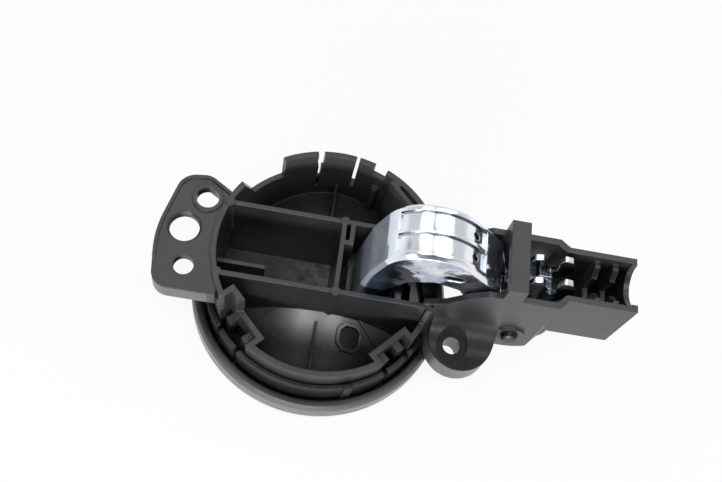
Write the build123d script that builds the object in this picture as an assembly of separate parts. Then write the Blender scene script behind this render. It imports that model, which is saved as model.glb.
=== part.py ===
from build123d import *
import math
import os

# Car interior door handle, seen with its back up.
# The origin is the middle of the round bezel's face, X runs along the lever to the cable end, Z is the back.

# Driving dimensions, in millimetres and degrees.
bezel_radius = 48.0
bezel_height = 13.0
rim_width = 7.0
back_level = 42.0
rim_drop = 11.5
bar_half = 13.5
lever_room = 37.0
pivot_reach = 28.2
pivot_z = 28.8
pin_radius = 3.0
arm_length = 35.8
arm_height = 29.0
arm_step = 3.0
arch_rise = 7.3
pull_angle = 18.0

# Plastic thicknesses.
wall = 2.0
rib = 1.7
cheek_wall = 2.2
skin = 3.2

# Clearances.
snap_gap = 0.4
pin_gap = 0.05
coil_gap = 0.6
pull_room = 0.8

# Levels and places that follow from the driving dimensions.
front_level = 1.5
plate_top = front_level + wall
ring_radius = bezel_radius - rim_width
ring_inner = ring_radius - wall
low_level = back_level - rim_drop
cheek_half = bar_half - 0.5
arm_half = cheek_half - arm_step
lever_half = cheek_half - cheek_wall - pull_room
hub_radius = pin_radius + 4.5
lobe_radius = pin_radius + 10.5
pivot_x = ring_radius + pivot_reach
cross_x = ring_radius - lever_room
left_x = cross_x + 7.0
bar_edge = left_x - pull_room
arm_floor = pivot_z + 0.7
arm_top = arm_floor + arm_height
arm_end = pivot_x + arm_length
cheek_top = arm_top - 1.0
strap_top = cheek_top + 8.0
strap_left = pivot_x - 10.7
strap_right = pivot_x - 4.2
strap_thick = 3.0
lever_top = strap_top + arch_rise
lug_bottom = bezel_height + 1.0


def block(x0, x1, y0, y1, z0, z1):
    """Straight box between two corners."""
    middle = Pos((x0 + x1) / 2, (y0 + y1) / 2, (z0 + z1) / 2)
    return middle * Box(x1 - x0, y1 - y0, z1 - z0)


def post(radius, x, y, z0, z1):
    """Upright round post."""
    return Pos(x, y, (z0 + z1) / 2) * Cylinder(radius, z1 - z0)


def axle(radius, y0, y1):
    """Round bar on the pivot's axis."""
    return Pos(pivot_x, (y0 + y1) / 2, pivot_z) * Rot(90, 0, 0) * Cylinder(radius, y1 - y0)


def polygon(*points):
    return make_face(Polyline(*points, close=True))


def side(face, half):
    """Solid of a shape drawn in X and Z, as thick on both sides of the middle."""
    return extrude(Plane.XZ * face, half, both=True)


def at_angle(degrees, solid):
    """Turns a solid drawn along +X round the bezel's axis."""
    return Rot(0, 0, degrees) * solid


def swung(reach, degrees):
    """Point of the lever's side, by its distance from the pivot and its angle below the pivot's level."""
    angle = math.radians(degrees)
    return (pivot_x - reach * math.cos(angle), pivot_z - reach * math.sin(angle))


# Housing.
# Each snap flat has its angle, its distance from the axis and half its length.
flats = ((-135.0, ring_radius - 5.4, 7.5), (-43.5, ring_radius - 4.4, 6.5))
snap_width = 3.0
snap_reach = 3.2
snap_top = low_level - 5.5
snap_bottom = snap_top - 9.0
pocket_angle = 44.0
pocket_distance = ring_radius - 5.4
pocket_half = 9.0
pocket_ends = ((-pocket_half, rib), (pocket_half, 2 * rib))
peg_angle = 68.5
peg_radius = 1.5
gap_angle = 130.8
gap_half = 6.5
gap_slope = 5.5
rim_slits = ((101.5, 2.3, 9.0), (101.5, 1.0, 24.0), (82.0, 1.2, 20.0), (69.0, 5.0, 6.0))
tab_half = 21.8


def ring_wall():
    """Ring behind the bezel, with two snap flats on its near side and a pocket on its far side."""
    outline = Circle(ring_radius)
    hollow = Circle(ring_inner)
    snaps = []
    for angle, distance, half in flats:
        reach = ring_radius - distance + wall
        outline -= Rot(0, 0, angle) * Pos(distance + reach / 2, 0) * Rectangle(reach, 2 * half)
        inside = Pos(distance - wall + reach / 2, 0) * Rectangle(reach, 2 * (half + wall))
        hollow -= Rot(0, 0, angle) * inside
        for y in (snap_width - half, half - snap_width):
            left = y - snap_width / 2
            right = y + snap_width / 2
            snap = block(distance - wall / 2, distance + snap_reach, left, right, snap_bottom, snap_top)
            snaps.append(at_angle(angle, snap))
    solid = extrude(Pos(0, 0, front_level) * (outline - hollow), back_level - front_level)
    solid += snaps
    inner = pocket_distance
    pocket_wall = block(inner, inner + rib, -pocket_half, pocket_half, plate_top, back_level)
    solid += at_angle(pocket_angle, pocket_wall) & post(ring_radius, 0, 0, front_level, back_level)
    for y, thick in pocket_ends:
        end = block(inner, ring_inner + wall / 4, y - thick / 2, y + thick / 2, plate_top, back_level)
        solid += at_angle(pocket_angle, end)
    peg = post(peg_radius, ring_inner - peg_radius / 3, 0, front_level, low_level)
    return solid + (at_angle(peg_angle, peg) - vault(1, bowl_radius - bowl_skin / 2))


def ring_cuts():
    """Low stretches of the rim, its slits and the window for the lever."""
    top = back_level + 1
    edge = ring_radius + 1
    near_left = block(-edge, 0, -edge, -tab_half - 0.2, low_level, top)
    near_right = block(0, edge, -edge, -bar_half - wall, low_level, top)
    gap = polygon((-gap_half, low_level), (gap_half, low_level), (gap_half + gap_slope, top), (-gap_half, top))
    low_far = at_angle(gap_angle, Pos(ring_radius, 0, 0) * extrude(Plane.YZ * gap, 3 * wall, both=True))
    window = block(pocket_distance - wall, edge, -bar_half, bar_half, 0, top)
    cuts = [near_left, near_right, low_far, window]
    for angle, width, depth in rim_slits:
        cuts.append(at_angle(angle, block(ring_inner - 1, edge, -width / 2, width / 2, top - depth, top)))
    return cuts


bowl_radius = ring_radius + 1.0
bowl_tilt = 18.6
bowl_skin = 1.8
bowl_top = 22.8


def vault(direction, radius):
    """Round bar that shapes the near or far finger bowl: its crest falls from the bar to the ring."""
    crest = Pos(0, direction * bar_half, bowl_top) * Rot(-direction * bowl_tilt, 0, 0)
    return crest * Pos(0, 0, -bowl_radius) * Rot(90, 0, 0) * Cylinder(radius, 4 * bezel_radius)


def beyond_bar(direction):
    """Room on one side of the bar."""
    large = 4 * bezel_radius
    return Pos(0, direction * (bar_half + large / 2), 0) * Box(large, large, large)


def bowl(direction):
    """Back of one finger bowl: a vault between the bar and the ring."""
    room = post(ring_inner + wall / 4, 0, 0, front_level, back_level) & beyond_bar(direction)
    return (vault(direction, bowl_radius) - vault(direction, bowl_radius - bowl_skin)) & room


def front_plate():
    plate = post(ring_inner + wall / 4, 0, 0, front_level, plate_top)
    for direction in (-1, 1):
        plate -= vault(direction, bowl_radius - bowl_skin) & beyond_bar(direction)
    plate -= block(bar_edge, ring_radius, -bar_half, bar_half, 0, plate_top + 1)
    return plate


def long_ribs():
    """Two walls along the bar: full depth beside the fixed bar, above the bowls beside the lever."""
    end = math.sqrt(ring_inner**2 - bar_half**2) + wall / 2
    solids = []
    for y in (-bar_half, bar_half):
        solids.append(block(-end, cross_x, y - rib / 2, y + rib / 2, front_level, back_level))
        beside_lever = block(cross_x, end, y - rib / 2, y + rib / 2, front_level, back_level)
        solids.append(beside_lever - vault(math.copysign(1, y), bowl_radius - bowl_skin))
        for x in (wall / 4 - end, cross_x):
            solids.append(post(rib, x, y, bowl_top, back_level + 0.3))
    return solids


box_depth = 4.0
box_near = 4.7
ledge_length = 17.5
ledge_drop = 18.0
ledge_y = -0.5


def bar_pocket():
    """Back of the fixed bar: its cross rib, small box and low ledge."""
    box_right = cross_x + box_depth
    cross = block(cross_x - rib / 2, cross_x + rib / 2, -bar_half, bar_half, front_level, back_level)
    box_end = block(box_right - rib, box_right, box_near, bar_half, bowl_top, back_level)
    box_side = block(cross_x, box_right, box_near, box_near + rib, bowl_top, back_level)
    ledge_end = ledge_length - ring_inner
    ledge_top = back_level - ledge_drop
    ledge = block(-ring_inner - wall / 4, ledge_end, ledge_y - rib, ledge_y, front_level, ledge_top)
    return [cross, box_end, box_side, ledge]


bowl_rib = 1.0
bowl_rib_proud = 0.8
bowl_rib_spread = 15.0
fin_top = bowl_top - 1.2
fin_start = bar_half + 4.5
frame_x = 13.0
frame_y = -bar_half - 7.7
frame_size = 10.0
frame_corner = 2.6
frame_wall = 1.4
frame_proud = 1.1


def bowl_ribs():
    """Level fin and two slanting ribs on each bowl."""
    corner = (ring_inner * 0.67, ring_inner * 0.6)
    start = (bowl_rib_spread, bar_half)
    run = math.dist(start, corner)
    angle = math.degrees(math.atan2(corner[1] - start[1], corner[0] - start[0]))
    slant = Pos(*start, back_level / 2) * Rot(0, 0, angle) * Pos(run / 2, 0, 0) * Box(run, bowl_rib, back_level)
    fin = block(-bowl_rib / 2, bowl_rib / 2, fin_start, ring_inner + wall / 4, front_level, fin_top)
    solids = []
    for direction in (-1, 1):
        under = vault(direction, bowl_radius - bowl_skin / 2)
        shell = vault(direction, bowl_radius + bowl_rib_proud) - under
        turned = slant if direction > 0 else mirror(slant, Plane.XZ)
        solids.append((fin if direction > 0 else mirror(fin, Plane.XZ)) - under)
        solids.append(shell & turned)
        solids.append(shell & mirror(turned, Plane.YZ))
    return solids


def bowl_frame():
    """Raised square frame with cut corners on the near bowl."""
    outline = Rectangle(frame_size, frame_size)
    outline = chamfer(outline.vertices(), frame_corner)
    face = Pos(frame_x, frame_y) * (outline - offset(outline, -frame_wall))
    shell = vault(-1, bowl_radius + frame_proud) - vault(-1, bowl_radius - bowl_skin / 2)
    return shell & extrude(face, back_level)


# Screw tab: its corners and holes are given by their distance out of the ring and their place along it.
tab_top = back_level - 1.0
tab_skirt = 8.0
tab_plate = 3.0
tab_overlap = 5.0
tab_edge = ((4.5, 22.6), (14.2, 21.2), (19.6, -2.0), (16.8, -tab_half))
tab_curves = (6, 7, 40, 6)
tab_holes = ((9.9, 1.4, 5.2), (4.1, 13.6, 4.0), (7.4, -12.8, 3.5))
tab_lip = 0.7
lip_wall = 1.2
hole_bevel = 1.6
collar_wall = 1.4


def tab():
    """Screw tab beside the ring, a plate with a skirt round its edge and three holes."""
    root_x = tab_overlap - ring_radius
    corners = [(root_x, bar_half + 3.3)]
    for out, y in tab_edge:
        corners.append((-ring_radius - out, y))
    corners.append((root_x, -tab_half))
    outline = make_face(FilletPolyline(*corners, radius=tab_curves) + Line(corners[-1], corners[0]))
    body = extrude(Pos(0, 0, tab_top - tab_skirt) * outline, tab_skirt)
    body -= extrude(Pos(0, 0, tab_top - tab_skirt) * offset(outline, -wall), tab_skirt - tab_plate)
    lip = extrude(Pos(0, 0, tab_top) * (outline - offset(outline, -lip_wall)), tab_lip)
    body += lip & block(-2 * ring_radius, root_x, -tab_half + 10, 2 * tab_half, tab_top, tab_top + tab_lip)
    bevelled, collared, plain = tab_holes
    out, y, radius = collared
    body += post(radius + collar_wall, -ring_radius - out, y, tab_top, tab_top + tab_lip + 0.2)
    for out, y, radius in tab_holes:
        body -= post(radius, -ring_radius - out, y, 0, 2 * back_level)
    out, y, radius = bevelled
    body -= Pos(-ring_radius - out, y, tab_top) * Cone(radius, radius + hole_bevel, hole_bevel)
    return body - Cylinder(ring_inner + wall / 4, 4 * back_level)


lug_x = ring_radius + 11.5
lug_y = -cheek_half - 3.5
lug_radius = 12.0
lug_thick = 10.0
lug_top = lug_bottom + lug_thick
lug_curve = 11.0
lug_hole_radius = 3.25
lug_seat = 2.4


def lug():
    """Round screw lug below the arm, with a hollow curve up to the arm's side."""
    plan = Pos(lug_x, lug_y) * Circle(lug_radius)
    plan += Pos(lug_x, (lug_y - cheek_half) / 2) * Rectangle(2 * lug_radius, -lug_y - cheek_half + 0.1)
    plan -= Pos(lug_x, -cheek_half + cheek_wall / 2 + lug_radius) * Rectangle(3 * lug_radius, 2 * lug_radius)
    solid = extrude(Pos(0, 0, lug_bottom) * plan, lug_thick)
    corner = Pos(-cheek_half - lug_curve / 2, lug_top + lug_curve / 2) * Rectangle(lug_curve, lug_curve)
    corner -= Pos(-cheek_half - lug_curve, lug_top + lug_curve) * Circle(lug_curve)
    blend = Pos(lug_x - lug_radius, 0, 0) * extrude(Plane.YZ * corner, 2 * lug_radius)
    solid += blend & extrude(Pos(0, 0, lug_bottom) * plan, lug_thick + lug_curve)
    hole_x = lug_x - 3.0
    hole_y = lug_y - 3.1
    seat = post(lug_hole_radius + lug_seat, hole_x, hole_y, lug_top, lug_top + 2 * lug_curve)
    return solid - seat - post(lug_hole_radius, hole_x, hole_y, 0, 2 * lug_top)


def cheeks():
    """Two side walls from the ring past the pivot to the cable end."""
    start = ring_radius - 6
    jog = pivot_x + hub_radius + 1.5
    outer = [(start, cheek_half), (jog, cheek_half), (jog + arm_step, arm_half), (arm_end, arm_half)]
    arm_inside = arm_half - wall
    cheek_inside = cheek_half - cheek_wall
    inner = [(arm_end, arm_inside), (jog + arm_step - 1, arm_inside), (jog - 1, cheek_inside)]
    plan = polygon(*outer, *inner, (start, cheek_inside))
    strip = extrude(plan, strap_top)
    strip += mirror(strip, Plane.XZ)
    top = [(start, back_level), (start + 7, back_level + 3.5), (start + 14, cheek_top - 4)]
    top += [(start + 19, cheek_top)]
    bridge = [(strap_left, cheek_top), (strap_left, strap_top)]
    bridge += [(strap_right, strap_top), (strap_right, cheek_top)]
    arm = [(jog, cheek_top), (jog + arm_step, arm_top), (arm_end, arm_top), (arm_end, arm_floor)]
    bottom = [(pivot_x, arm_floor), (pivot_x, pivot_z - hub_radius)]
    bottom += [(start + 12, lug_bottom), (start, lug_bottom)]
    outline = side(polygon(*top, *bridge, *arm, *bottom), 2 * cheek_half)
    outline += axle(lobe_radius, -2 * cheek_half, 2 * cheek_half)
    return strip & outline


clip_places = (14.0, 7.5)
clip_drop = 3.0
clip_slot_half = 2.6
clip_slot_depth = 15.0
clip_mouth = 6.0
end_notch = 7.4


def cable_arm():
    """Floor, end wall and cable clip plates between the side walls of the arm."""
    start = pivot_x + lobe_radius - 0.5
    inside = arm_half - wall / 2
    floor = block(start, arm_end, -inside, inside, arm_floor, arm_floor + wall)
    end = block(arm_end - wall, arm_end, -inside, inside, arm_floor, arm_top)
    notch = Pos(arm_end, 0, arm_top) * Rot(0, 90, 0) * Cylinder(end_notch, 4 * wall)
    solids = [floor, end - notch]
    for back in clip_places:
        x = arm_end - back
        plate = block(x, x + wall, -inside, inside, arm_floor, arm_top - clip_drop)
        slot = block(x - 1, x + wall + 1, -clip_slot_half, clip_slot_half, arm_top - clip_slot_depth, arm_top)
        mouth = Pos(x, 0, arm_top - 1) * Rot(0, 90, 0) * Cylinder(clip_mouth, 4 * wall)
        solids.append(plate - slot - mouth)
    return solids


def strap():
    """Bridge over the lever's root."""
    inside = cheek_half - cheek_wall / 2
    return block(strap_left, strap_right, -inside, inside, strap_top - strap_thick, strap_top)


boss_wall = 2.6
boss_proud = 0.8


def make_housing():
    solid = ring_wall()
    solid += [front_plate(), bowl(-1), bowl(1)]
    solid += bowl_ribs()
    solid += bowl_frame()
    for cut in ring_cuts():
        solid -= cut
    solid += long_ribs()
    solid += bar_pocket()
    solid += tab()
    solid += [cheeks(), strap(), lug()]
    solid += cable_arm()
    solid += axle(pin_radius + boss_wall, -cheek_half - boss_proud, -cheek_half + cheek_wall / 2)
    solid -= axle(pin_radius + pin_gap, -2 * cheek_half, 2 * cheek_half)
    return solid


# Bezel.
collar_inner = ring_radius + snap_gap
collar_outer = collar_inner + 1.8
collar_top = bezel_height + 9.0
lip_inner = ring_radius - 0.6
lip_top = front_level - 0.2
bezel_base = 3.0
rim_inner = bezel_radius - 3.4
bezel_slits = (-135.0, -43.5, 43.5, 135.0)
slit_spacing = 10.0
slit_width = 1.6
nub_angle = -70.7
nub_half = 1.6
nub_proud = 0.8


def make_bezel():
    section = polygon(
        (lip_inner, 0),
        (bezel_radius - 4.2, 0),
        (bezel_radius - 1.3, 1.2),
        (bezel_radius, 4.0),
        (bezel_radius, bezel_height - 1.6),
        (bezel_radius - 1.1, bezel_height),
        (rim_inner, bezel_height),
        (rim_inner, bezel_base),
        (collar_outer, bezel_base),
        (collar_outer, collar_top),
        (collar_inner, collar_top),
        (collar_inner, lip_top),
        (lip_inner, lip_top),
    )
    solid = revolve(Plane.XZ * section, Axis.Z)
    nub_top = collar_top + nub_proud
    nub = block(collar_inner + wall / 4, collar_outer + nub_proud, -nub_half, nub_half, bezel_base, nub_top)
    solid += at_angle(nub_angle, nub)
    start = pocket_distance - wall
    end = collar_outer + 0.6
    lever_gap = block(start, end, -bar_half, bar_half, bezel_base, collar_top + 1)
    lug_gap = block(start, end, lug_y - 6, 0, lug_bottom - 2, collar_top + 1)
    solid -= [lever_gap, lug_gap]
    for angle in bezel_slits:
        for y in (-slit_spacing / 2, slit_spacing / 2):
            left = y - slit_width / 2
            cut = block(collar_inner - 1, end, left, left + slit_width, 2 * bezel_base, collar_top + 1)
            solid -= at_angle(angle, cut)
    return solid


# Lever. Its front bar ends on an arc round the pivot, and its neck stays above the bezel when it is pulled.
front_z = front_level + 1.0
bar_back = front_z + 4.5
tail_x = strap_left - 1.0
tail_z = strap_top - 9.0
swing_margin = 2.0
lip_x = math.sqrt(lip_inner**2 - lever_half**2)
lip_reach = math.hypot(pivot_x - lip_x, pivot_z) + pull_room
neck_angle = math.degrees(math.atan2(pivot_z - lip_top, pivot_x - lip_x)) - pull_angle - swing_margin
front_angle = math.degrees(math.asin((pivot_z - front_z) / lip_reach))
rim_x = math.sqrt(rim_inner**2 - lever_half**2)
rim_reach = math.hypot(pivot_x - rim_x, pivot_z - bezel_height)
rim_angle = math.degrees(math.atan2(pivot_z - bezel_height, pivot_x - rim_x)) - pull_angle - swing_margin
neck_x, neck_z = swung(lip_reach, neck_angle)
loop_left = left_x + 3.0
loop_right = neck_x - 3.4
neck_step = 5.4
crown_left = left_x + 9.0
crown_right = tail_x - 16.5
crown_run = crown_right - crown_left
fork_outer = 5.2
fork_inner = 3.2
fork_curve = 0.7


def lever_outline():
    """Closed outline of the lever's side: front bar, arch over the back, root and neck."""
    rise = [(left_x, lever_top - 40.8), (left_x + 2.7, lever_top - 20.8), (crown_left, lever_top)]
    fall = [(crown_right, lever_top), (tail_x, tail_z)]
    arch = FilletPolyline(*rise, *fall, radius=(40, 0.76 * crown_run, 0.95 * crown_run))
    hub = swung(hub_radius, 82)
    root = Polyline(fall[-1], (pivot_x - 4, pivot_z + 6.4), hub)
    waist = [swung(21.5, 10), swung(rim_reach, rim_angle), swung(lip_reach - neck_step, neck_angle)]
    neck = Polyline(hub, *waist, (neck_x, neck_z))
    bar_end = CenterArc((pivot_x, pivot_z), lip_reach, 180 + neck_angle, front_angle - neck_angle)
    front = Polyline(swung(lip_reach, front_angle), (left_x + 1.5, front_z), (left_x, front_z + 3), rise[0])
    return make_face(arch + root + neck + bar_end + front)


def finger_loop():
    """Outline of the hole that the fingers reach through."""
    roof = [(loop_left, 20), (left_x + 6, lever_top - 36.8), (left_x + 16, lever_top - 21.4)]
    roof += [(left_x + 25, lever_top - 17.9), (pivot_x - 24.2, lever_top - 20.9)]
    roof += [(pivot_x - 18.2, lever_top - 31.8)]
    floor = [(pivot_x - 18.2, pivot_z + 2.7), (pivot_x - 27.2, pivot_z + 0.7), (pivot_x - 37.2, pivot_z - 4.3)]
    floor += [(loop_right, neck_z + 4.1), (loop_right, bar_back), (loop_left, bar_back)]
    face = polygon(*roof, *floor)
    return fillet(face.vertices(), 2.5)


def fork():
    """Two hooked prongs that hold the cable's nipple."""
    x = pivot_x
    z = pivot_z
    stem = [(x - 3, z + 3), (x - 1.7, z + 23), (x - 0.2, z + 29.7), (x + 2.3, z + 30.5), (x + 4, z + 28)]
    seat = [(x + 5.3, z + 23.5), (x + 7.6, z + 21), (x + 9.3, z + 23.5), (x + 8.5, z + 29)]
    hook = [(x + 9.6, z + 32), (x + 12.4, z + 31.5), (x + 14.8, z + 27), (x + 15, z + 24), (x + 13, z + 20)]
    foot = [(x + 9, z + 14), (x + 5, z + 10), (x + 4, z + 2)]
    face = polygon(*stem, *seat, *hook, *foot)
    tips = face.vertices().filter_by_position(Axis.Y, z + 20, z + 40)
    face = fillet(tips, fork_curve)
    prongs = side(face, fork_outer) - side(face, fork_inner)
    inside = (fork_inner + fork_outer) / 2
    return prongs + block(x + 4.5, x + 9.5, -inside, inside, z + 15.5, z + 18.5)


arch_bevel = 1.3
groove_depth = 1.0
groove_half = 3.4
groove_y = 4.0
vent_radius = 1.1


def make_lever():
    outline = lever_outline()
    loop = finger_loop()
    body = outline - loop + Pos(pivot_x, pivot_z) * Circle(hub_radius)
    solid = side(body, lever_half) - side(body, lever_half - wall)
    top = lever_top + 1
    below = [(0, 0), (neck_x, 0), (loop_right, pivot_z), (tail_x, tail_z - 11.5)]
    outer_skin = (outline - offset(outline, -skin)) & polygon(*below, (pivot_x, top), (0, top))
    inner = loop_left + 6
    roof_z = lever_top - 33
    roof_x = pivot_x - 23
    loop_room = polygon((0, 0), (inner, 0), (inner, roof_z), (roof_x, roof_z), (roof_x, top), (0, top))
    loop_skin = (offset(loop, wall) - loop) & loop_room & outline
    bar_top = neck_z + 1
    bar_end = polygon((loop_right, 0), (ring_radius, 0), (neck_x + 1, bar_top), (loop_right, bar_top)) & body
    for face in (outer_skin, loop_skin, bar_end):
        solid += side(face, lever_half)
    groove_room = polygon((crown_left, roof_z), (tail_x - 7, roof_z), (tail_x - 7, top), (crown_left, top))
    groove = (outline - offset(outline, -groove_depth)) & groove_room
    for direction in (-1, 1):
        solid -= Pos(0, direction * groove_y, 0) * side(groove, groove_half)
        solid -= post(vent_radius, pivot_x - 23, direction * 4.0, lever_top - 14, top)
    oval = Pos(pivot_x - 28, lever_top - 12.8) * SlotOverall(7.0, 3.6)
    solid -= side(oval, 2 * lever_half)
    crowns = []
    for y in (-lever_half, lever_half):
        crowns.append(solid.edges().filter_by_position(Axis.Y, y - pin_gap, y + pin_gap).sort_by(Axis.Z)[-1])
    solid = chamfer(crowns, arch_bevel)
    solid += axle(pin_radius + wall, -lever_half, lever_half)
    solid += fork()
    return solid - axle(pin_radius + pin_gap, -2 * lever_half, 2 * lever_half)


# Pivot pin.
pin_near = cheek_half + 3.0
pin_far = cheek_half + 0.2
pin_head = 1.5
pin_bevel = 0.6


def make_pin():
    shank = axle(pin_radius, -pin_near, pin_far)
    shank = chamfer(shank.edges().sort_by(Axis.Y)[0], pin_bevel)
    return shank + axle(pin_radius + 1.2, pin_far, pin_far + pin_head)


# Return spring.
wire = 1.1
wire_sides = 6
coil_radius = pin_radius + wall + coil_gap + wire / 2
whole_turns = 1
lever_leg = 19.0
lever_leg_lean = 38.7
arm_leg = 16.0
arm_leg_dip = 9.7


def make_spring():
    """Torsion coil round the lever's root, with one leg to the lever and one to the arm's floor."""
    turns = whole_turns + (lever_leg_lean + 270 + arm_leg_dip) / 360
    pitch = wire * 1.02
    lean = math.radians(lever_leg_lean)
    dip = math.radians(arm_leg_dip)
    start = (math.cos(lean), 0, math.sin(lean))
    coil_plane = Plane(origin=(pivot_x, -turns * pitch / 2, pivot_z), x_dir=start, z_dir=(0, 1, 0))
    path = coil_plane * Helix(pitch, turns * pitch, coil_radius)
    first = Plane(origin=path @ 0, z_dir=path % 0) * RegularPolygon(wire / 2, wire_sides)
    last = Plane(origin=path @ 1, z_dir=path % 1) * RegularPolygon(wire / 2, wire_sides)
    up = (-math.sin(lean), 0, math.cos(lean))
    along = (math.cos(dip), 0, -math.sin(dip))
    return sweep(first, path) + extrude(first, lever_leg, dir=up) + extrude(last, arm_leg, dir=along)


nodes = {
    "housing": make_housing(),
    "bezel": make_bezel(),
    "lever": make_lever(),
    "pivot_pin": make_pin(),
    "return_spring": make_spring(),
}

os.makedirs("parts", exist_ok=True)
for name, solid in nodes.items():
    export_step(solid, f"parts/{name}.step")
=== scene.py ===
import math

import bpy
from mathutils import Matrix, Vector


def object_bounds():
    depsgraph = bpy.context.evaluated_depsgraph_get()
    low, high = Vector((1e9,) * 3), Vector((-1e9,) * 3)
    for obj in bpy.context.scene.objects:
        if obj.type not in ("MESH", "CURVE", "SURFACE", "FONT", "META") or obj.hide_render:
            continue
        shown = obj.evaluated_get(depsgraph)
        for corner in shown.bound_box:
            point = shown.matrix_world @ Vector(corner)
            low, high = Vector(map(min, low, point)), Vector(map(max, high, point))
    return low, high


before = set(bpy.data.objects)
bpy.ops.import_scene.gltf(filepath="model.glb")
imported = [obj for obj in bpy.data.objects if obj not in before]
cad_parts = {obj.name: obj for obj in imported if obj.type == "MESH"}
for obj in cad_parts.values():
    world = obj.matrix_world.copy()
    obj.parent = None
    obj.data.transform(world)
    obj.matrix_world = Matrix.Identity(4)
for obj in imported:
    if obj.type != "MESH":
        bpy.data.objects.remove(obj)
cad_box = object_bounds()
scene = bpy.context.scene
scene.view_settings.view_transform = "Standard"

# Lengths are in metres, in the shared frame. The bezel's radius is the CAD box's half width.
bezel_radius = cad_box[1][1]


# Node helpers. A fade is (where it is 0, where it is 1), of a length, a direction or a noise.
def feed(tree, value, socket):
    """Sets a socket to a number or a colour, or links an output to it."""
    if isinstance(value, (int, float)):
        socket.default_value = value
    elif isinstance(value, tuple):
        socket.default_value = (*value, 1)
    else:
        tree.links.new(value, socket)


def empty_material(name):
    """Node material with nothing but its surface output."""
    material = bpy.data.materials.new(name)
    material.use_nodes = True
    tree = material.node_tree
    tree.nodes.clear()
    output = tree.nodes.new("ShaderNodeOutputMaterial")
    return material, tree, output.inputs["Surface"]


def new_material(name):
    """Node material with one principled shader."""
    material, tree, surface = empty_material(name)
    shader = tree.nodes.new("ShaderNodeBsdfPrincipled")
    tree.links.new(shader.outputs["BSDF"], surface)
    return material, tree, shader


def noise(tree, scale, detail=3.0, roughness=0.55, stretch=(1, 1, 1)):
    """Noise in the object's own frame, with a scale per metre."""
    spot = tree.nodes.new("ShaderNodeTexCoord")
    mapping = tree.nodes.new("ShaderNodeMapping")
    mapping.inputs["Scale"].default_value = stretch
    texture = tree.nodes.new("ShaderNodeTexNoise")
    texture.inputs["Scale"].default_value = scale
    texture.inputs["Detail"].default_value = detail
    texture.inputs["Roughness"].default_value = roughness
    tree.links.new(spot.outputs["Object"], mapping.inputs["Vector"])
    tree.links.new(mapping.outputs["Vector"], texture.inputs["Vector"])
    return texture.outputs["Fac"]


def ramp(tree, value, stops):
    """Colour ramp through (position, colour) stops; a number stands for a grey."""
    node = tree.nodes.new("ShaderNodeValToRGB")
    elements = node.color_ramp.elements
    while len(elements) < len(stops):
        elements.new(0.5)
    for element, (position, colour) in zip(elements, stops):
        element.position = position
        element.color = (*colour, 1) if isinstance(colour, tuple) else (colour, colour, colour, 1)
    tree.links.new(value, node.inputs["Fac"])
    return node.outputs["Color"]


def bump(tree, shader, layers, edge):
    """Stacks (height, distance, strength) bumps on an edge-rounded normal."""
    bevel = tree.nodes.new("ShaderNodeBevel")
    bevel.samples = 6
    bevel.inputs["Radius"].default_value = edge
    normal = bevel.outputs["Normal"]
    for height, distance, strength in layers:
        node = tree.nodes.new("ShaderNodeBump")
        node.inputs["Distance"].default_value = distance
        node.inputs["Strength"].default_value = strength
        tree.links.new(height, node.inputs["Height"])
        tree.links.new(normal, node.inputs["Normal"])
        normal = node.outputs["Normal"]
    tree.links.new(normal, shader.inputs["Normal"])


def math_node(tree, operation, *values, clamp=False):
    """One Math node over sockets and numbers."""
    node = tree.nodes.new("ShaderNodeMath")
    node.operation = operation
    node.use_clamp = clamp
    for value, socket in zip(values, node.inputs):
        feed(tree, value, socket)
    return node.outputs[0]


def product(tree, *values):
    """Product of sockets."""
    total = values[0]
    for value in values[1:]:
        total = math_node(tree, "MULTIPLY", total, value)
    return total


def step(tree, value, fade):
    """Smooth step over a value."""
    rising = fade[0] < fade[1]
    node = tree.nodes.new("ShaderNodeMapRange")
    node.interpolation_type = "SMOOTHSTEP"
    node.inputs["From Min"].default_value = min(fade)
    node.inputs["From Max"].default_value = max(fade)
    node.inputs["To Min"].default_value = 0.0 if rising else 1.0
    node.inputs["To Max"].default_value = 1.0 if rising else 0.0
    tree.links.new(value, node.inputs["Value"])
    return node.outputs["Result"]


def mask(tree, *fades):
    """Product of smooth steps, each given as (value, fade)."""
    return product(tree, *[step(tree, value, fade) for value, fade in fades])


def mix_value(tree, amount, first, second):
    """Mix of two numbers or sockets."""
    node = tree.nodes.new("ShaderNodeMix")
    tree.links.new(amount, node.inputs[0])
    feed(tree, first, node.inputs[2])
    feed(tree, second, node.inputs[3])
    return node.outputs[0]


def blend(tree, amount, first, second):
    """Mix of two colours or sockets."""
    node = tree.nodes.new("ShaderNodeMix")
    node.data_type = "RGBA"
    tree.links.new(amount, node.inputs["Factor"])
    feed(tree, first, node.inputs[6])
    feed(tree, second, node.inputs[7])
    return node.outputs[2]


def split(tree, vector):
    """X, Y and Z of a vector."""
    node = tree.nodes.new("ShaderNodeSeparateXYZ")
    tree.links.new(vector, node.inputs[0])
    return node.outputs


def place(tree):
    """X, Y and Z in the object's own frame."""
    return split(tree, tree.nodes.new("ShaderNodeTexCoord").outputs["Object"])


def facing(tree):
    """X, Y and Z of the surface direction."""
    return split(tree, tree.nodes.new("ShaderNodeNewGeometry").outputs["True Normal"])


def distance(tree, x, y):
    """Length of a vector in the plane."""
    square = math_node(tree, "ADD", product(tree, x, x), product(tree, y, y))
    return math_node(tree, "SQRT", square)


def offset(tree, value, middle):
    """Distance of a value from the middle of a range."""
    return math_node(tree, "ABSOLUTE", math_node(tree, "SUBTRACT", value, middle))


# Black plastic.
speck_colour = (0.15, 0.15, 0.15)
speck_fade = (0.765, 0.80)


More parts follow.
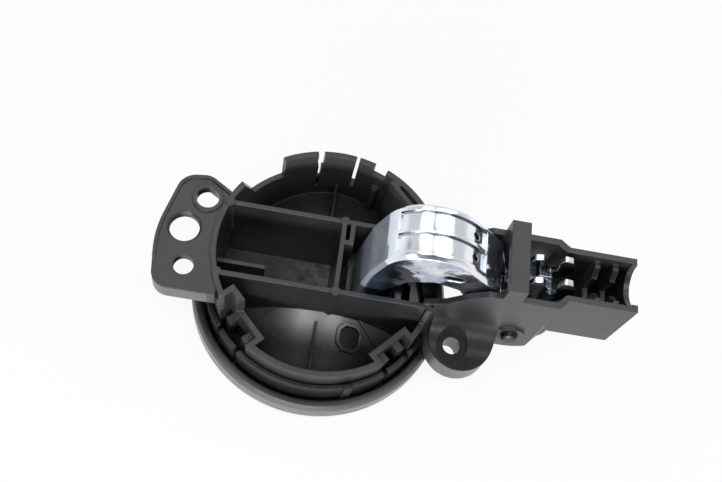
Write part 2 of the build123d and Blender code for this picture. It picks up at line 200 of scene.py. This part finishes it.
def plastic(name, dark, light, rough, grain, edge):
    """Moulded plastic with fine grain, clouded gloss, rubbed patches and dust specks, and its colour."""
    material, tree, shader = new_material(name)
    clouds = noise(tree, scale=60, detail=5.0)
    rubbed = noise(tree, scale=420, detail=6.0, roughness=0.7)
    tint = ramp(tree, product(tree, clouds, rubbed), [(0.12, dark), (0.42, light)])
    specks = step(tree, noise(tree, scale=1100, detail=1.0), speck_fade)
    tint = blend(tree, specks, tint, speck_colour)
    gloss = ramp(tree, clouds, [(0.25, rough[0]), (0.75, rough[1])])
    tree.links.new(gloss, shader.inputs["Roughness"])
    fine = noise(tree, scale=3600, detail=2.0)
    bump(tree, shader, [(fine, 0.00006, grain), (clouds, 0.0006, 0.12)], edge)
    return material, tree, shader, tint


# Housing: colours and shine. The slope, pocket floor, far wall and flat wall colours are painted light, the
# frame colour is painted shade, and the worn colour is partly wear and partly a painted highlight.
housing_dark = (0.0165, 0.0174, 0.0180)
housing_light = (0.0290, 0.0304, 0.0314)
housing_edge = 0.0005
plain_shine = 0.5
slope_shine = [(0.0, 0.06), (0.55, 0.42), (1.0, 1.0)]
slope_light_colour = (0.058, 0.059, 0.060)
frame_shine = 0.14
frame_shade_colour = (0.012, 0.012, 0.012)
lug_foot_shine = 0.12
worn_and_lit_shine = 1.0
worn_and_lit_colour = (0.060, 0.061, 0.063)
pocket_light_colour = (0.17, 0.17, 0.175)
far_wall_light_colour = (0.058, 0.060, 0.061)
flat_wall_light_colour = (0.100, 0.102, 0.105)
# Bowl slopes: distance from the X axis, distance from the Z axis, height and direction.
bowl_side = (0.0138, 0.0142)
bowl_wall = (0.0386, 0.0384)
bowl_top = (0.0238, 0.0232)
bowl_upward = (0.3, 0.6)
slope_shiny = (0.028, 0.016)
slope_pale = (0.025, 0.016)
# Eight-sided frame on the near bowl.
frame_middle = (0.0130, -0.0212)
frame_half = (0.0038, 0.0034)
frame_corner = (0.0058, 0.0053)
# Lug: both ends along X, its side, and the heights of its foot and rim.
lug_start = (0.0375, 0.0380)
lug_end = (0.0670, 0.0665)
lug_side = (-0.0132, -0.0136)
lug_foot = ((0.0228, 0.0234), (0.0325, 0.0295))
lug_rim = ((0.0236, 0.0230), (0.0125, 0.0135))
# Tab: its near edge below the top.
tab_start = (-0.0385, -0.0392)
tab_side = (-0.0160, -0.0168)
tab_top = (0.0406, 0.0398)
tab_steep = (0.6, 0.4)
# Pocket floor, with the start and the patches of its painted light.
pocket_side = (0.0132, 0.0128)
pocket_floor = (0.0050, 0.0045)
pocket_level = (0.7, 0.9)
pocket_light_start = (-0.020, 0.0)
pocket_light_patches = (0.25, 0.7)
# Inside of the far wall, and the flat wall beside its latch pocket.
far_side = (0.0142, 0.0150)
far_inside = (0.0400, 0.0396)
far_height = (0.0150, 0.0300)
far_facing = (-0.3, -0.5)
flat_start = (0.0180, 0.0230)
flat_facing = (-0.60, -0.68)


def housing_plastic():
    """Black plastic with shiny slopes, painted light on the bowl slopes, pocket floor and far wall, painted
    shade in the frame, and worn edges with a painted highlight.
    """
    material, tree, shader, tint = plastic(
        "housing_plastic", housing_dark, housing_light, rough=(0.28, 0.40), grain=0.30, edge=housing_edge)
    x, y, z = place(tree)
    toward = facing(tree)
    up = toward["Z"]
    reach = math_node(tree, "ABSOLUTE", y)
    radius = distance(tree, x, y)
    # Bowl slopes: shiny and pale near the bar, dull toward the wall. The pale colour is painted light, as on
    # the lit upper curve of a bowl.
    bowl = mask(tree, (reach, bowl_side), (radius, bowl_wall), (z, bowl_top), (up, bowl_upward))
    shine = mix_value(tree, bowl, plain_shine, ramp(tree, step(tree, reach, slope_shiny), slope_shine))
    slope_light = product(tree, bowl, step(tree, reach, slope_pale))
    # Frame on the near bowl: dark inside, painted shade in its recess.
    sides = [offset(tree, value, middle) for value, middle in zip((x, y), frame_middle)]
    corner = step(tree, math_node(tree, "ADD", *sides), frame_corner)
    socket = product(tree, bowl, corner, mask(tree, *[(side, frame_half) for side in sides]))
    shine = mix_value(tree, socket, shine, frame_shine)
    # Lug and tab: a dull foot under the lug's top, and a paler rim and near edge, partly wear and partly a
    # painted highlight where they face the front lamp.
    lug = mask(tree, (x, lug_start), (x, lug_end), (y, lug_side))
    foot = product(tree, lug, mask(tree, *[(z, fade) for fade in lug_foot]))
    rim = product(tree, lug, mask(tree, *[(z, fade) for fade in lug_rim]))
    tab = mask(tree, (x, tab_start), (y, tab_side), (z, tab_top), (up, tab_steep))
    worn_and_lit = math_node(tree, "MAXIMUM", rim, tab)
    shine = mix_value(tree, foot, shine, lug_foot_shine)
    shine = mix_value(tree, worn_and_lit, shine, worn_and_lit_shine)
    # Pocket floor: painted light, paler in patches and toward the lever.
    patches = noise(tree, scale=260, detail=4.0)
    pocket_light = mask(tree, (reach, pocket_side), (z, pocket_floor), (up, pocket_level), (x, pocket_light_start),
                (patches, pocket_light_patches))
    # Far wall: painted light, paler inside and palest on the flat wall.
    far_wall_light = mask(tree, (y, far_side), (radius, far_inside), (toward["Y"], far_facing), (z, far_height))
    flat_wall_light = product(tree, far_wall_light, mask(tree, (toward["X"], flat_facing), (x, flat_start)))
    for area, colour in ((pocket_light, pocket_light_colour), (slope_light, slope_light_colour), (worn_and_lit, worn_and_lit_colour),
                         (far_wall_light, far_wall_light_colour), (flat_wall_light, flat_wall_light_colour), (socket, frame_shade_colour)):
        tint = blend(tree, area, tint, colour)
    tree.links.new(tint, shader.inputs["Base Color"])
    tree.links.new(shine, shader.inputs["Specular IOR Level"])
    return material


# Bezel: dull in the groove, glossy and paler on the outer wall, where the paler colour is partly a satin face
# and partly a painted reflection of the white floor. Fades are over the distance from the axis.
bezel_dark = (0.0085, 0.0090, 0.0094)
bezel_light = (0.0152, 0.0158, 0.0164)
bezel_edge = 0.0008
groove_shine = 0.38
rim_shine = 1.0
rim_glossy = (bezel_radius - 0.0035, bezel_radius - 0.0010)
outer_wall = (bezel_radius - 0.0012, bezel_radius - 0.0004)
outer_wall_satin_and_sheen_colour = (0.052, 0.054, 0.056)


def bezel_plastic():
    """Black plastic, dull in the groove and glossy on the rim's outer face, which is paler, partly satin and
    partly a painted reflection.
    """
    material, tree, shader, tint = plastic(
        "bezel_plastic", bezel_dark, bezel_light, rough=(0.26, 0.36), grain=0.22, edge=bezel_edge)
    x, y = place(tree)[:2]
    radius = distance(tree, x, y)
    shine = mix_value(tree, step(tree, radius, rim_glossy), groove_shine, rim_shine)
    tree.links.new(shine, shader.inputs["Specular IOR Level"])
    # Outer wall: paler, partly satin and partly a painted reflection of the floor.
    tint = blend(tree, step(tree, radius, outer_wall), tint, outer_wall_satin_and_sheen_colour)
    tree.links.new(tint, shader.inputs["Base Color"])
    return material


# Lever: colours. The cheek clouds, dark patch and fork foot are painted reflections, and the crease, vent and
# loop colours are painted shade.
chrome_shade = (0.70, 0.75, 0.84)
chrome_light = (0.90, 0.91, 0.93)
cheek_reflection_dark = (0.36, 0.40, 0.48)
cheek_reflection_light = (0.70, 0.73, 0.78)
finger_colour = (0.60, 0.66, 0.76)
crease_shade_colour = (0.10, 0.12, 0.16)
vent_shade_colour = (0.012, 0.012, 0.014)
dark_reflection_colour = (0.055, 0.070, 0.105)
loop_shade_colour = (0.045, 0.050, 0.060)
fork_reflection_colour = (0.16, 0.17, 0.19)
finger_metal = 0.60
chrome_metal = 0.97
chrome_edge = 0.0007
# Cheeks: how far they face aside, and the two ends along X of the painted dark reflection, moved by the
# waves.
cheek_aside = (0.6, 0.95)
patch_aside = (0.85, 0.97)
patch_start = (0.0130, 0.0155)
patch_end = (0.0245, 0.0205)
patch_drift = 0.006
# Finger end, along X.
finger_end = (0.0205, 0.0165)
plated_start = (0.0165, 0.0225)
# Grooves: the reach and depth of the crease, and the two ends of the lines along X.
crease_reach = 0.0012
crease_deep = (0.93, 0.60)
crease_start = (0.0205, 0.030)
crease_end = (0.0500, 0.0470)
# Two vents, at the same distance on both sides of the X axis, painted near black as shade.
vent_x = 0.0462
vent_y = 0.004
vent_radius = (0.0013, 0.0011)
# Inside of the loop, above the finger bar, painted dark as shade, and the foot of the fork, painted dark as a
# reflection of the dark housing.
loop_height = (0.024, 0.018)
loop_upward = (0.3, 0.6)
fork_start = (0.062, 0.067)
fork_height = (0.0585, 0.0555)


def chrome(name):
    """Plated plastic: a wavy skin with faint haze, cheeks with painted cloudy reflections and a painted dark
    reflection, painted shade in grooves, vents and the loop, a painted dark reflection at the fork's foot,
    and a satin finger end.
    """
    material, tree, shader = new_material(name)
    waves = noise(tree, scale=55, detail=2.0)
    ripples = noise(tree, scale=170)
    haze = noise(tree, scale=300, detail=6.0, roughness=0.65)
    x, y, z = place(tree)
    toward = facing(tree)
    aside = math_node(tree, "ABSOLUTE", toward["Y"])
    reach = math_node(tree, "ABSOLUTE", y)
    # Cheeks: cloudy painted reflections.
    cheek_reflections = ramp(tree, ripples, [(0.38, cheek_reflection_dark), (0.66, cheek_reflection_light)])
    # Grooves and inner corners: a dark line of painted shade.
    crease = tree.nodes.new("ShaderNodeAmbientOcclusion")
    crease.samples = 8
    crease.only_local = True
    crease.inputs["Distance"].default_value = crease_reach
    line = mask(tree, (crease.outputs["AO"], crease_deep), (x, crease_start), (x, crease_end))
    # Vents: painted shade in the holes.
    vent_shade = step(tree, distance(tree, offset(tree, x, vent_x), offset(tree, reach, vent_y)), vent_radius)
    # Dark patch on the cheeks, a painted reflection of the dark housing: its ends wander with the waves.
    start = math_node(tree, "SUBTRACT", x, patch_drift / 2)
    drift = math_node(tree, "MULTIPLY_ADD", waves, patch_drift, start)
    dark_reflection = mask(tree, (aside, patch_aside), (drift, patch_start), (drift, patch_end))
    # Loop: painted shade inside. Fork foot: painted dark reflection.
    loop_shade = mask(tree, (z, loop_height), (toward["Z"], loop_upward))
    fork_reflection = mask(tree, (x, fork_start), (z, fork_height))
    tint = ramp(tree, waves, [(0.3, chrome_shade), (0.7, chrome_light)])
    for area, colour in ((step(tree, aside, cheek_aside), cheek_reflections), (step(tree, x, finger_end), finger_colour),
                         (line, crease_shade_colour), (vent_shade, vent_shade_colour), (dark_reflection, dark_reflection_colour),
                         (loop_shade, loop_shade_colour), (fork_reflection, fork_reflection_colour)):
        tint = blend(tree, area, tint, colour)
    tree.links.new(tint, shader.inputs["Base Color"])
    metallic = mix_value(tree, step(tree, x, plated_start), finger_metal, chrome_metal)
    tree.links.new(metallic, shader.inputs["Metallic"])
    gloss = ramp(tree, haze, [(0.3, 0.04), (0.75, 0.13)])
    tree.links.new(gloss, shader.inputs["Roughness"])
    bump(tree, shader, [(waves, 0.0012, 0.45), (ripples, 0.0004, 0.25)], chrome_edge)
    return material


# Steel: the pin is blackened, the spring is bright.
pin_dark = (0.030, 0.030, 0.032)
pin_light = (0.070, 0.070, 0.072)
spring_dark = (0.36, 0.35, 0.33)
spring_light = (0.55, 0.54, 0.52)
drawn = (1, 0.15, 1)
steel_edge = 0.0003


def metal(name, dark, light, rough, grain):
    """Steel with drawn streaks."""
    material, tree, shader = new_material(name)
    streaks = noise(tree, scale=700, detail=4.0, roughness=0.6, stretch=drawn)
    tint = ramp(tree, streaks, [(0.3, dark), (0.7, light)])
    tree.links.new(tint, shader.inputs["Base Color"])
    shader.inputs["Metallic"].default_value = 1.0
    gloss = ramp(tree, streaks, [(0.3, rough[0]), (0.7, rough[1])])
    tree.links.new(gloss, shader.inputs["Roughness"])
    bump(tree, shader, [(streaks, 0.00005, grain)], steel_edge)
    return material


looks = {
    "housing": housing_plastic(),
    "bezel": bezel_plastic(),
    "lever": chrome("lever_chrome"),
    "pivot_pin": metal("pin_steel", pin_dark, pin_light, rough=(0.30, 0.48), grain=0.3),
    "return_spring": metal("spring_steel", spring_dark, spring_light, rough=(0.22, 0.36), grain=0.2),
}

# Shading: smooth across curves, sharp across edges.
weld_distance = 0.000002
sharp_angle = math.radians(32)
for node, material in looks.items():
    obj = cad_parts[node]
    obj.data.materials.clear()
    obj.data.materials.append(material)
    weld = obj.modifiers.new("weld", "WELD")
    weld.merge_threshold = weld_distance
    edges = obj.modifiers.new("edges", "EDGE_SPLIT")
    edges.split_angle = sharp_angle
    obj.modifiers.new("normals", "WEIGHTED_NORMAL")
    obj.data.polygons.foreach_set("use_smooth", [True] * len(obj.data.polygons))


# Stage: a white floor that keeps a faint shadow, a pale surround and soft lamps.
def seen_directly(tree):
    """1 for rays from the camera, mirrors and glass."""
    path = tree.nodes.new("ShaderNodeLightPath")
    total = path.outputs["Is Camera Ray"]
    for name in ("Is Glossy Ray", "Is Transmission Ray"):
        total = math_node(tree, "ADD", total, path.outputs[name], clamp=True)
    return total


floor_size = 4.0
floor_colour = (0.86, 0.86, 0.86)
white = (1, 1, 1)
near_lift = 0.88
far_lift = 1.0
lift_rise = (0.12, 0.45)
outside_bezel = (bezel_radius - 0.004, bezel_radius)


def make_floor():
    """Matt floor that glows white where it is seen, more so far from the part, never inside the bezel."""
    bpy.ops.mesh.primitive_plane_add(size=floor_size, location=(0, 0, 0))
    floor = bpy.context.object
    floor.name = "floor"
    material, tree, surface = empty_material("floor_white")
    matt = tree.nodes.new("ShaderNodeBsdfDiffuse")
    feed(tree, floor_colour, matt.inputs["Color"])
    glow = tree.nodes.new("ShaderNodeEmission")
    feed(tree, white, glow.inputs["Color"])
    spot = tree.nodes.new("ShaderNodeTexCoord")
    length = tree.nodes.new("ShaderNodeVectorMath")
    length.operation = "LENGTH"
    tree.links.new(spot.outputs["Object"], length.inputs[0])
    away = length.outputs["Value"]
    lift = ramp(tree, step(tree, away, lift_rise), [(0.0, near_lift), (1.0, far_lift)])
    lift = product(tree, seen_directly(tree), step(tree, away, outside_bezel), lift)
    mix = tree.nodes.new("ShaderNodeMixShader")
    tree.links.new(lift, mix.inputs["Fac"])
    tree.links.new(matt.outputs[0], mix.inputs[1])
    tree.links.new(glow.outputs[0], mix.inputs[2])
    tree.links.new(mix.outputs[0], surface)
    floor.data.materials.append(material)


# Surround: fades are over the direction's height Z and its side Y.
sky_rise = (0.22, 0.42)
sky_horizon = 1.0
sky_top = 0.70
room_colour = (0.42, 0.45, 0.51)
room_scale = 2.6
room_detail = 2.0
room_patches = (0.50, 0.58)
near_side = (-0.34, -0.50)
near_rise = (0.30, 0.50)
near_colour = (0.10, 0.105, 0.115)
surround_level = 0.5


def make_surround():
    """White at the horizon, greyer above, with room-like patches and a dark near side; dimmer as a light."""
    world = bpy.data.worlds.new("surround")
    scene.world = world
    world.use_nodes = True
    tree = world.node_tree
    tree.nodes.clear()
    output = tree.nodes.new("ShaderNodeOutputWorld")
    back = tree.nodes.new("ShaderNodeBackground")
    direction = tree.nodes.new("ShaderNodeTexCoord").outputs["Generated"]
    toward = split(tree, direction)
    sky = ramp(tree, toward["Z"], list(zip(sky_rise, (sky_horizon, sky_top))))
    room = tree.nodes.new("ShaderNodeTexNoise")
    room.inputs["Scale"].default_value = room_scale
    room.inputs["Detail"].default_value = room_detail
    tree.links.new(direction, room.inputs["Vector"])
    patches = mask(tree, (room.outputs["Fac"], room_patches), (toward["Z"], sky_rise))
    sky = blend(tree, patches, sky, room_colour)
    near = mask(tree, (toward["Y"], near_side), (toward["Z"], near_rise))
    sky = blend(tree, near, sky, near_colour)
    tree.links.new(sky, back.inputs["Color"])
    strength = math_node(tree, "MULTIPLY_ADD", seen_directly(tree), 1 - surround_level, surround_level)
    tree.links.new(strength, back.inputs["Strength"])
    tree.links.new(back.outputs[0], output.inputs["Surface"])


# Lamps: a pair above the part, a pair behind it and a low fill in front. Powers are in watts.
lamp_columns = (("left", -0.2), ("right", 0.36))
lamp_target = (0.01, 0, 0)
fill_target = (0, 0, 0.02)
lamp_edge = (0.0, 0.3)


def lamp(name, location, target, size, power):
    """Area lamp whose light fades out toward its edges."""
    data = bpy.data.lights.new(name, "AREA")
    data.shape = "RECTANGLE"
    data.size, data.size_y = size
    data.energy = power
    data.use_nodes = True
    tree = data.node_tree
    spot = split(tree, tree.nodes.new("ShaderNodeNewGeometry").outputs["Parametric"])
    inward = [math_node(tree, "PINGPONG", spot[axis], 0.5) for axis in "XY"]
    soft = mask(tree, *[(value, lamp_edge) for value in inward])
    tree.links.new(soft, tree.nodes["Emission"].inputs["Strength"])
    obj = bpy.data.objects.new(name, data)
    scene.collection.objects.link(obj)
    obj.location = location
    obj.rotation_euler = (Vector(target) - Vector(location)).to_track_quat("-Z", "Y").to_euler()


# Camera: its direction, roll and place come from a fit to the photograph.
elevation = math.radians(63.73)
azimuth = math.radians(-10.22)
roll = math.radians(18.96)
camera_distance = 0.35142
camera_shift = (-0.01711, -0.02194)
focal_pixels = 900.0
image_pixels = 722.0
sensor_width = 36.0


def make_camera():
    """Camera that looks at the part as in the photograph; the lens is in millimetres."""
    flat = math.cos(elevation)
    toward = Vector((math.sin(azimuth) * flat, -math.cos(azimuth) * flat, math.sin(elevation)))
    level = Vector((math.cos(azimuth), math.sin(azimuth), 0))
    upright = toward.cross(level)
    right = math.cos(roll) * level + math.sin(roll) * upright
    up = -math.sin(roll) * level + math.cos(roll) * upright
    data = bpy.data.cameras.new("camera")
    data.sensor_width = sensor_width
    data.lens = focal_pixels * sensor_width / image_pixels
    data.clip_start = 0.01
    camera = bpy.data.objects.new("camera", data)
    scene.collection.objects.link(camera)
    location = camera_distance * toward - camera_shift[0] * right - camera_shift[1] * up
    turn = Matrix((right, up, toward)).transposed().to_4x4()
    camera.matrix_world = Matrix.Translation(location) @ turn
    scene.camera = camera


make_floor()
make_surround()
for side, x in lamp_columns:
    lamp("top_" + side, (x, -0.22, 1.0), lamp_target, size=(0.54, 0.36), power=5.4)
    lamp("back_" + side, (x, 0.46, 0.9), lamp_target, size=(0.52, 0.6), power=1.9)
lamp("fill", (-0.1, -1.0, 0.30), fill_target, size=(1.2, 0.3), power=21)
make_camera()
